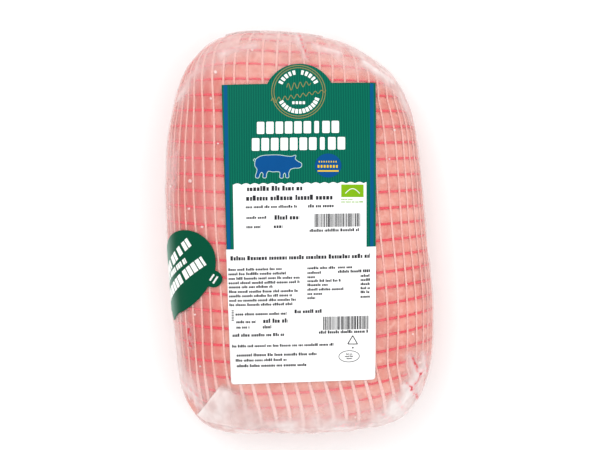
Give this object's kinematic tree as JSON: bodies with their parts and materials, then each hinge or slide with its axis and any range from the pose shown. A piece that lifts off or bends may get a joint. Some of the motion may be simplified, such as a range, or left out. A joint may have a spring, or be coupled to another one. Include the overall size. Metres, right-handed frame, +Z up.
{
  "type": "smoked ham",
  "caption": "Boneless ham, a flattened loaf shape in elastic knitted netting, vacuum-packed in clear film, with two plain labels in front and an oval sticker round one side; lies on its back",
  "frame": {"origin": "middle of the pack's box in plan, on the surface the pack lies on", "axes": "+Z up, out of the front labels; +Y along the pack's length towards the label's round tab; +X to the right of the labels as they are read"},
  "size_m": [0.1276, 0.1906, 0.054],
  "materials": {
    "ham": "moist pink cooked pork with a smoked skin, stood in for by leather",
    "netting": "knitted elastic net of off-white lengthwise strands over thin red crosswise threads",
    "vacuum_film": "thin clear shrunk film, glossy and slightly milky at its edges",
    "front_label": "satin coated paper, green with fine stripes and a white panel",
    "data_label": "satin white thermal paper",
    "side_sticker": "glossy green coated paper"
  },
  "bodies": {
    "root": {"ham": "ham", "netting": "netting", "vacuum_film": "vacuum_film", "front_label": "front_label", "data_label": "data_label", "side_sticker": "side_sticker"}
  },
  "joints": []
}
